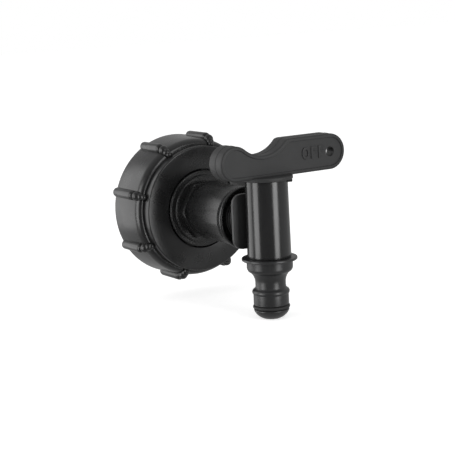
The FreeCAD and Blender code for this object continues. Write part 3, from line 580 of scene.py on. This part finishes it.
# %% Spool outline
RING_TOP, RING_BOTTOM = tap_low.z - 0.1, tap_low.z - 1.3
HUB_BOTTOM = RING_BOTTOM - 3.2
THROAT_TOP, THROAT_END = HUB_BOTTOM - 6.9, HUB_BOTTOM - 8.5
BEAD_TOP = THROAT_END - 1.386
BEAD_END = BEAD_TOP - 2.3
NIPPLE_END = BEAD_END - 7.3
GROOVE_Z = NIPPLE_END + 1.55
TIP_EDGE = NIPPLE_END - 3.25
spool = finished("spool_nozzle", turned(
    Pen(0, 7.5)
    .line(0, tap_high.z)
    .line(7.6, tap_high.z, soft=0.3)
    .line(7.6, RING_TOP)
    .line(spool_high.x, RING_TOP, soft=0.35)
    .line(spool_high.x, RING_BOTTOM, soft=0.35)
    .line(10.3, RING_BOTTOM, soft=0.3)
    .line(10.3, HUB_BOTTOM)
    .arc(8.72, HUB_BOTTOM - 2.255, 2.4, RIGHT, 8)
    .arc(6.8, THROAT_TOP, 6.58, LEFT, 10)
    .line(6.8, THROAT_END)
    .arc(7.6, BEAD_TOP, 1.6, LEFT, 6)
    .arc(7.9, BEAD_END, 1.395, RIGHT, 10)
    .line(7.9, GROOVE_Z + 1.0, soft=0.2)
    .line(6.7, GROOVE_Z + 1.0)
    .line(6.7, GROOVE_Z - 1.0)
    .line(7.9, GROOVE_Z - 1.0, soft=0.2)
    .line(7.9, NIPPLE_END)
    .arc(4.9, TIP_EDGE, 6.31, RIGHT, 10)
    .line(4.2, spool_low.z)
    .line(4.2, 7.5)
    .close()), ON_BARREL)

# %% [markdown]
# ## Nozzle O-ring
# An O-ring is a circle spun about an axis beside it. It sits in its groove and stands a little
# proud of the sealing barrel.

# %% O-ring
CORD = 0.8
ring_mesh = bmesh.new()
bmesh.ops.create_circle(ring_mesh, segments=20, radius=CORD,
                        matrix=Matrix.Translation((7.52, 0, GROOVE_Z)) @ UPRIGHT)
nozzle_ring = finished("nozzle_ring", turned(ring_mesh), ON_BARREL)

# %% [markdown]
# ## Writing materials as sums
# A material is a graph of nodes, but it reads better as a sum. This small class holds one socket.
# Plus, minus and times add a Math node, and `node` adds any other kind: its settings come first,
# because some settings change which sockets there are, and then the values or wires that go in.

# %% One wire of a shader
class Wire:
    def __init__(self, tree, socket=None):
        self.tree, self.socket = tree, socket

    def node(self, kind, output=0, settings=None, stops=None, inputs=None):
        made = self.tree.nodes.new(kind)
        for name, value in (settings or {}).items():
            setattr(made, name, value)
        for stop, (position, value) in zip(made.color_ramp.elements if stops else (), stops or ()):
            stop.position, stop.color = position, (value, value, value, 1)
        for name, value in (inputs or {}).items():
            if isinstance(value, Wire):
                self.tree.links.new(value.socket, made.inputs[name])
            else:
                made.inputs[name].default_value = value
        return Wire(self.tree, made.outputs[output] if made.outputs else None)

    def math(self, operation, first, second):
        return self.node("ShaderNodeMath", settings={"operation": operation},
                         inputs={0: first, 1: second})

    def __add__(self, other):
        return self.math("ADD", self, other)

    def __sub__(self, other):
        return self.math("SUBTRACT", self, other)

    def __rsub__(self, other):
        return self.math("SUBTRACT", other, self)

    def __mul__(self, other):
        return self.math("MULTIPLY", self, other)

    __radd__ = __add__
    __rmul__ = __mul__

    def noise(self, scale, detail=3.0):
        """Noise on the piece's own coordinates, from 0 to 1; the scale is in bumps a metre."""
        return self.node("ShaderNodeTexNoise", settings={"noise_dimensions": "3D"},
                         inputs={"Vector": self, "Scale": scale, "Detail": detail})


# %% [markdown]
# ## Black plastic, six ways
# Every piece is black, so the finish has to tell them apart. Mould steel that was polished gives the
# glossy barrel, and spark-eroded steel gives the lever its fine matt grain. The nut and tailpiece lie
# between. Each finish is a dark grey that varies a little, a roughness that varies more, as handling
# and flow leave it, and a fine bump. Soft rubber is darker and duller than all of them.

# %% A recipe for moulded plastic
def black_finish(name, shade, rough, rough_spread, grain, grain_height, coat=0.0, streak=None):
    """Dark plastic. Grain is in bumps a metre and its height in metres. Streak is a scale along
    each axis for drawn-out flow marks."""
    material = bpy.data.materials.new(name)
    material.use_nodes = True
    tree = material.node_tree
    tree.nodes.clear()
    here = Wire(tree).node("ShaderNodeTexCoord", output=3)
    cloud = here.noise(45)
    blotch = here.noise(160, detail=5)
    marks = cloud
    if streak:
        drawn_out = here.node("ShaderNodeMapping", inputs={"Vector": here, "Scale": streak})
        marks = drawn_out.noise(1, detail=4)
    colour = here.node("ShaderNodeMix", output=2, settings={"data_type": "RGBA"}, inputs={
        0: cloud * 0.6 + marks * 0.4,
        6: (shade * 0.7, shade * 0.72, shade * 0.75, 1),
        7: (shade * 1.3, shade * 1.3, shade * 1.32, 1)})
    roughness = rough + (blotch + marks - 1) * rough_spread
    height = here.noise(grain, detail=2) + (blotch - 0.5) * 0.5
    bump = here.node("ShaderNodeBump", inputs={
        "Strength": 1.0, "Distance": grain_height, "Height": height})
    surface = here.node("ShaderNodeBsdfPrincipled", inputs={
        "Base Color": colour, "Roughness": roughness, "Normal": bump, "IOR": 1.5,
        "Coat Weight": coat, "Coat Roughness": 0.12})
    here.node("ShaderNodeOutputMaterial", inputs={"Surface": surface})
    print(name, "has", len(tree.nodes), "nodes")
    return material


nut_black = black_finish("nut_black_satin", 0.010, 0.30, 0.16, 1500, 0.000010)
tail_black = black_finish("tail_black_satin", 0.010, 0.27, 0.18, 1500, 0.000004,
                          streak=(420, 25, 420))
barrel_black = black_finish("barrel_black_gloss", 0.012, 0.20, 0.10, 900, 0.000006,
                            streak=(500, 500, 60))
# The wrench plate is moulded with the barrel, yet its grey is twice the barrel's. That is painted
# light, brightening a face that lies in the barrel's shade. Its higher roughness is a real matt
# finish.
plate_black_painted_light = black_finish("plate_matt_painted_light", 0.024, 0.46, 0.12, 1500, 0.000012)
lever_black = black_finish("lever_black_matt", 0.020, 0.58, 0.12, 2600, 0.000030)
nozzle_black = black_finish("nozzle_black_satin", 0.018, 0.36, 0.14, 1800, 0.000014)
seal_black = black_finish("seal_black_rubber", 0.012, 0.62, 0.15, 1200, 0.000020)

# %% [markdown]
# ## Dressing the frame
# Each new piece is listed with the body it moves with, the imported node it stands for, the record's
# finish slot and the material it wears; the slot is only listed. The gasket, washer, seals and the two
# inner O-rings keep their own shapes and only get their rubber.

# %% Pieces, bodies and finishes
dress = [
    (nut_shell, "nut", "swivel_nut", "nut_plastic", nut_black),
    (nut_ribs, "nut", None, "nut_plastic", nut_black),
    (nut_thread, "nut", None, "nut_plastic", nut_black),
    (tail_pipe, "tap", "tailpiece", "tail_plastic", tail_black),
    (tail_hexagon, "tap", None, "tail_plastic", tail_black),
    (barrel_shell, "tap", "tap_body", "tap_plastic", barrel_black),
    (neck_pipe, "tap", None, "tap_plastic", barrel_black),
    # The wrench plate's grey, lighter than the barrel's, is painted light.
    (wrench_plate, "tap", None, "tap_plastic", plate_black_painted_light),
    (neck_thread, "tap", None, "tap_plastic", barrel_black),
    (fixed_stop, "tap", None, "tap_plastic", barrel_black),
    (lever_blade, "lever", "lever_handle", "lever_plastic", lever_black),
    (lever_disc, "lever", None, "lever_plastic", lever_black),
    (spool, "lever", "outlet_plug", "lever_plastic", nozzle_black),
    (nozzle_ring, "lever", "nozzle_oring", "seal_rubber", seal_black),
]
dress += [(piece, "lever", None, "lever_plastic", lever_black)
          for piece in lug_pieces + letter_pieces]
for piece, body, node, slot, material in dress:
    piece.data.materials.append(material)
    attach(piece, body)
    if node:
        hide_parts(node)
print(len(dress), "pieces dressed")

# %% Rubber for the kept nodes
for node in ("tank_gasket", "tap_washer", "plug_oring_upper", "plug_oring_lower", "port_seal"):
    kept = frame["nodes"][node]
    for material_slot in kept.material_slots:
        material_slot.material = seal_black
    if not kept.material_slots:
        kept.data.materials.append(seal_black)

# %% [markdown]
# ## Camera
# A long lens about half a metre away, a little to the left of the tap and a little above it, and
# tipped by less than three degrees. The three turns are applied one after the other, so that each can
# be read by itself.

# %% Place the camera
AZIMUTH, ELEVATION, ROLL = -32.551, 10.159, -2.805
AIM = Vector((0.01786, 0.00251, -0.57359))
FOCAL_LENGTH = 102.857
NEAR_CLIP = 0.01
turn = (Matrix.Rotation(math.radians(AZIMUTH), 3, "Z")
        @ Matrix.Rotation(math.radians(90 - ELEVATION), 3, "X")
        @ Matrix.Rotation(math.radians(ROLL), 3, "Z"))
camera_data = bpy.data.cameras.new("camera")
camera_data.sensor_width = 36
camera_data.lens = FOCAL_LENGTH
camera_data.clip_start = NEAR_CLIP
camera = bpy.data.objects.new("camera", camera_data)
bpy.context.scene.collection.objects.link(camera)
camera.matrix_world = Matrix.Translation(Vector((0, barrel_y * MM, 0)) - turn @ AIM) @ turn.to_4x4()
bpy.context.scene.camera = camera
print("camera at", [round(value, 4) for value in camera.matrix_world.translation])

# %% [markdown]
# ## Floor and light
# Black plastic shows hardly anything but reflections, so the light decides its look. Tall soft
# boxes stand to the left and to the front right, and the side from which one looks stays dim. The
# world gives the rest: it is white to the eye, and plain grey to everything that it lights.

# %% Floor
FLOOR_SIZE = 3.0
FLOOR_GREY = 0.8
FLOOR_GLOW = 0.6
FLOOR_DROP = 0.0002
floor_mesh = bmesh.new()
bmesh.ops.create_grid(floor_mesh, x_segments=1, y_segments=1, size=FLOOR_SIZE)
bmesh.ops.translate(floor_mesh, verts=floor_mesh.verts[:], vec=(0, 0, cad_box[0][2] - FLOOR_DROP))
floor_data = bpy.data.meshes.new("floor")
floor_mesh.to_mesh(floor_data)
floor_mesh.free()
floor = bpy.data.objects.new("floor", floor_data)
bpy.context.scene.collection.objects.link(floor)
floor.visible_glossy = False
floor_paint = bpy.data.materials.new("floor_paper")
floor_paint.use_nodes = True
floor_paint.node_tree.nodes.clear()
paper = Wire(floor_paint.node_tree)
seen = paper.node("ShaderNodeLightPath", output=0)
matt = paper.node("ShaderNodeBsdfDiffuse", inputs={"Color": (FLOOR_GREY,) * 3 + (1,)})
glow = paper.node("ShaderNodeEmission", inputs={"Color": (1, 1, 1, 1), "Strength": seen * FLOOR_GLOW})
both = paper.node("ShaderNodeAddShader", inputs={0: matt, 1: glow})
paper.node("ShaderNodeOutputMaterial", inputs={"Surface": both})
floor_data.materials.append(floor_paint)
print("floor at", round(cad_box[0][2], 4))


# %% Soft boxes
def soft_box(name, bearing, distance, height, width, tall, radiance):
    """A rectangular lamp that faces the tap. Its bearing is in degrees from +X, seen from above."""
    lamp = bpy.data.lights.new(name, "AREA")
    lamp.shape = "RECTANGLE"
    lamp.size, lamp.size_y = width, tall
    lamp.energy = radiance * math.pi * width * tall
    holder = bpy.data.objects.new(name, lamp)
    bpy.context.scene.collection.objects.link(holder)
    centre = Vector((0, barrel_y * MM, 0))
    angle = math.radians(bearing)
    spot = centre + Vector((math.cos(angle) * distance, math.sin(angle) * distance, height))
    facing = (spot - centre).to_track_quat("Z", "Y").to_matrix().to_4x4()
    holder.matrix_world = Matrix.Translation(spot) @ facing
    return holder


soft_box("left_box", 172, 0.9, 0.05, 0.46, 0.9, 4.5)
soft_box("right_box", -80, 0.9, 0.05, 0.40, 0.9, 6.0)
soft_box("rear_left_box", 125, 0.9, 0.10, 0.60, 0.9, 1.6)

# %% World
DIM_BEARING = -136.6
WORLD_GREY = 0.55
DIM_AMOUNT = 0.4
world = bpy.data.worlds.new("studio")
bpy.context.scene.world = world
world.use_nodes = True
world.node_tree.nodes.clear()
sky = Wire(world.node_tree)
eye = sky.node("ShaderNodeLightPath", output=0)
shiny = sky.node("ShaderNodeLightPath", output="Is Glossy Ray")
looked = sky.node("ShaderNodeTexCoord", output="Generated")
dim_side = Vector((math.cos(math.radians(DIM_BEARING)), math.sin(math.radians(DIM_BEARING)), 0))
towards = looked.node("ShaderNodeVectorMath", output="Value", settings={"operation": "DOT_PRODUCT"},
                      inputs={0: looked, 1: dim_side})
level = eye + (1 - eye) * (WORLD_GREY - shiny * towards.math("MAXIMUM", towards, 0) * DIM_AMOUNT)
backdrop = sky.node("ShaderNodeBackground", inputs={"Color": (1, 1, 1, 1), "Strength": level})
sky.node("ShaderNodeOutputWorld", inputs={"Surface": backdrop})
bpy.context.scene.view_settings.view_transform = "Standard"
